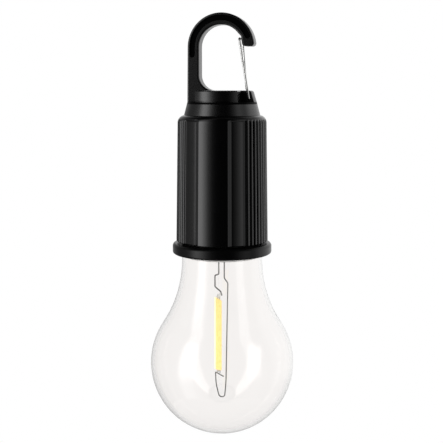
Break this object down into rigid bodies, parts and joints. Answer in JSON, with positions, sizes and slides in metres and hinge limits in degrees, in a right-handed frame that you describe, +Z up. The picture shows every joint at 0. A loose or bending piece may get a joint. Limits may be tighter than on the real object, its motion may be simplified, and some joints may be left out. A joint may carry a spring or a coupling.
{
  "type": "camping lantern",
  "caption": "Camping lantern shaped like a light bulb: a hanging hook with a sprung wire gate, a ribbed black battery housing, and a screw-on clear globe round an LED filament.",
  "frame": {"origin": "centre of the hook's eye, on the lamp's axis, at mid depth of the hook", "axes": "+Z up along the lamp's axis, +Y from front to back along the eye's axis, +X towards the hook's gate"},
  "size_m": [0.053, 0.053, 0.1542],
  "materials": {
    "black_plastic": "moulded black plastic with a satin gloss",
    "button_plastic": "moulded black plastic, matt",
    "steel_wire": "drawn bright steel",
    "lead_wire": "drawn grey nickel-plated wire",
    "clear_plastic": "clear moulded plastic, polished",
    "phosphor": "yellow phosphor in silicone, satin",
    "ceramic_core": "white ceramic strip",
    "circuit_board": "green solder mask over glass board",
    "seal_rubber": "black rubber",
    "contact_brass": "nickel-plated brass spring sheet",
    "cell_sleeve": "plain metallised sleeve",
    "inner_plastic": "moulded dark plastic, matt",
    "white_plastic": "moulded white plastic"
  },
  "bodies": {
    "lantern_body": {"hook_cap": "black_plastic", "battery_housing": "black_plastic", "cap_seal": "seal_rubber", "cap_screws": "steel_wire", "switch_board": "circuit_board", "switch_body": "inner_plastic", "series_resistors": "inner_plastic", "upper_contact": "contact_brass", "upper_link": "contact_brass", "cell_cradle": "inner_plastic", "cell_1": "cell_sleeve", "cell_2": "cell_sleeve", "cell_3": "cell_sleeve", "drive_rod": "contact_brass", "contact_disc": "inner_plastic", "lower_link": "contact_brass", "lower_contact": "contact_brass"},
    "button": {"power_button": "button_plastic", "switch_plunger": "inner_plastic"},
    "gate": {"gate_wire": "steel_wire"},
    "bulb_carrier": {"collar_seal": "seal_rubber"},
    "bulb_head": {"bulb_collar": "black_plastic", "bulb_globe": "clear_plastic", "globe_gasket": "seal_rubber", "filament_base": "white_plastic", "lamp_board": "circuit_board", "lamp_contacts": "contact_brass", "left_lead": "lead_wire", "right_lead": "lead_wire", "filament_core": "ceramic_core", "filament_phosphor": "phosphor", "filament_tabs": "lead_wire"}
  },
  "joints": [
    {"name": "gate_swing", "type": "hinge", "parent": "lantern_body", "child": "gate", "pos_m": [0.01039, 0, -0.0182], "axis": [0, -1, 0], "range_deg": [0, 22], "stiffness_Nm_per_rad": 0.06},
    {"name": "button_press", "type": "slide", "parent": "lantern_body", "child": "button", "axis": [0, 0, -1], "range_m": [0, 0.0008], "stiffness_N_per_m": 800},
    {"name": "bulb_drop", "type": "slide", "parent": "lantern_body", "child": "bulb_carrier", "axis": [0, 0, -1], "range_m": [0, 0.00451]},
    {"name": "bulb_turn", "type": "hinge", "parent": "bulb_carrier", "child": "bulb_head", "pos_m": [0, 0, -0.07], "axis": [0, 0, -1], "range_deg": [0, 540]}
  ],
  "couplings": [
    {"joint": "bulb_drop", "follows": "bulb_turn", "m_per_rad": 0.00047746}
  ]
}
